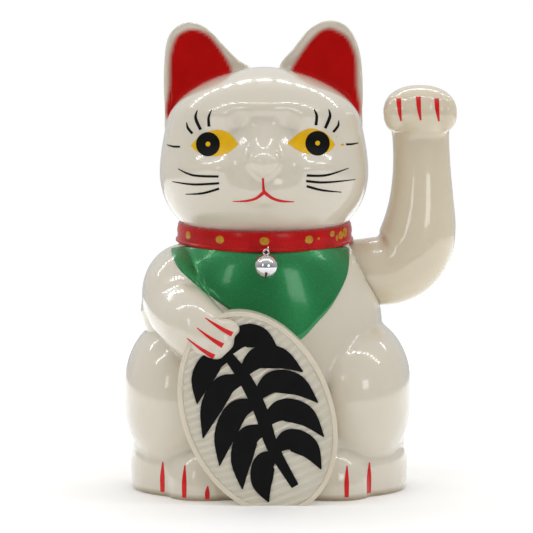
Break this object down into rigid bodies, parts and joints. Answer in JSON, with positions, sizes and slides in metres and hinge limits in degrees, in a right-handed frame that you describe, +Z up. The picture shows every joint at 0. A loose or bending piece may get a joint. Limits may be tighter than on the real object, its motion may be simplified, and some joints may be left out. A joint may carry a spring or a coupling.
{
  "type": "beckoning cat figurine",
  "caption": "Seated moulded cat holding an oval coin, with a battery-driven paw that waves on a pendulum and a round bell under its collar.",
  "frame": {"origin": "middle of the base plate, on the flat face the figurine rests on", "axes": "+Z up along the figurine's height, -Y the way the cat faces, +X to the side of the waving arm"},
  "size_m": [0.1436, 0.1003, 0.2],
  "materials": {
    "ivory_moulding": "gloss",
    "red_lacquer": "gloss",
    "bell_chrome": "polished",
    "plated_steel": "satin",
    "mechanism_moulding": "satin",
    "base_moulding": "satin",
    "ferrite": "matte",
    "copper_winding": "gloss",
    "board_laminate": "satin",
    "component_case": "satin",
    "cell_case": "gloss",
    "lead_red": "satin",
    "lead_black": "satin"
  },
  "bodies": {
    "root": {"front_shell": "ivory_moulding", "rear_shell": "ivory_moulding", "collar_band": "red_lacquer", "bell_hanger": "plated_steel", "koban_plaque": "ivory_moulding", "mechanism_frame": "mechanism_moulding", "frame_screws": "plated_steel", "coil_bobbin": "mechanism_moulding", "drive_coil": "copper_winding", "circuit_board": "board_laminate", "board_capacitor": "component_case", "board_transistor": "component_case", "base_plate": "base_moulding", "base_screws": "plated_steel", "battery_cell": "cell_case", "positive_contact": "plated_steel", "negative_contact": "plated_steel", "positive_lead": "lead_red", "negative_lead": "lead_black"},
    "arm": {"arm_front_half": "ivory_moulding", "arm_rear_half": "ivory_moulding", "arm_hub": "mechanism_moulding", "pivot_shaft": "plated_steel", "pendulum_lever": "mechanism_moulding", "counterweight": "plated_steel", "drive_magnet": "ferrite"},
    "bell": {"bell_upper_half": "bell_chrome", "bell_lower_half": "bell_chrome", "bell_pellet": "plated_steel"},
    "door": {"battery_door": "base_moulding"}
  },
  "joints": [
    {"name": "arm_swing", "type": "hinge", "parent": "root", "child": "arm", "pos_m": [0.03, 0.005, 0.093], "axis": [1, 0, 0], "range_deg": [-20, 20]},
    {"name": "bell_swing", "type": "hinge", "parent": "root", "child": "bell", "pos_m": [0, -0.0421, 0.1042], "axis": [-1, 0, 0], "range_deg": [0, 35]},
    {"name": "door_hinge", "type": "hinge", "parent": "root", "child": "door", "pos_m": [0, 0.0295, 0.0011], "axis": [1, 0, 0], "range_deg": [0, 100]}
  ]
}
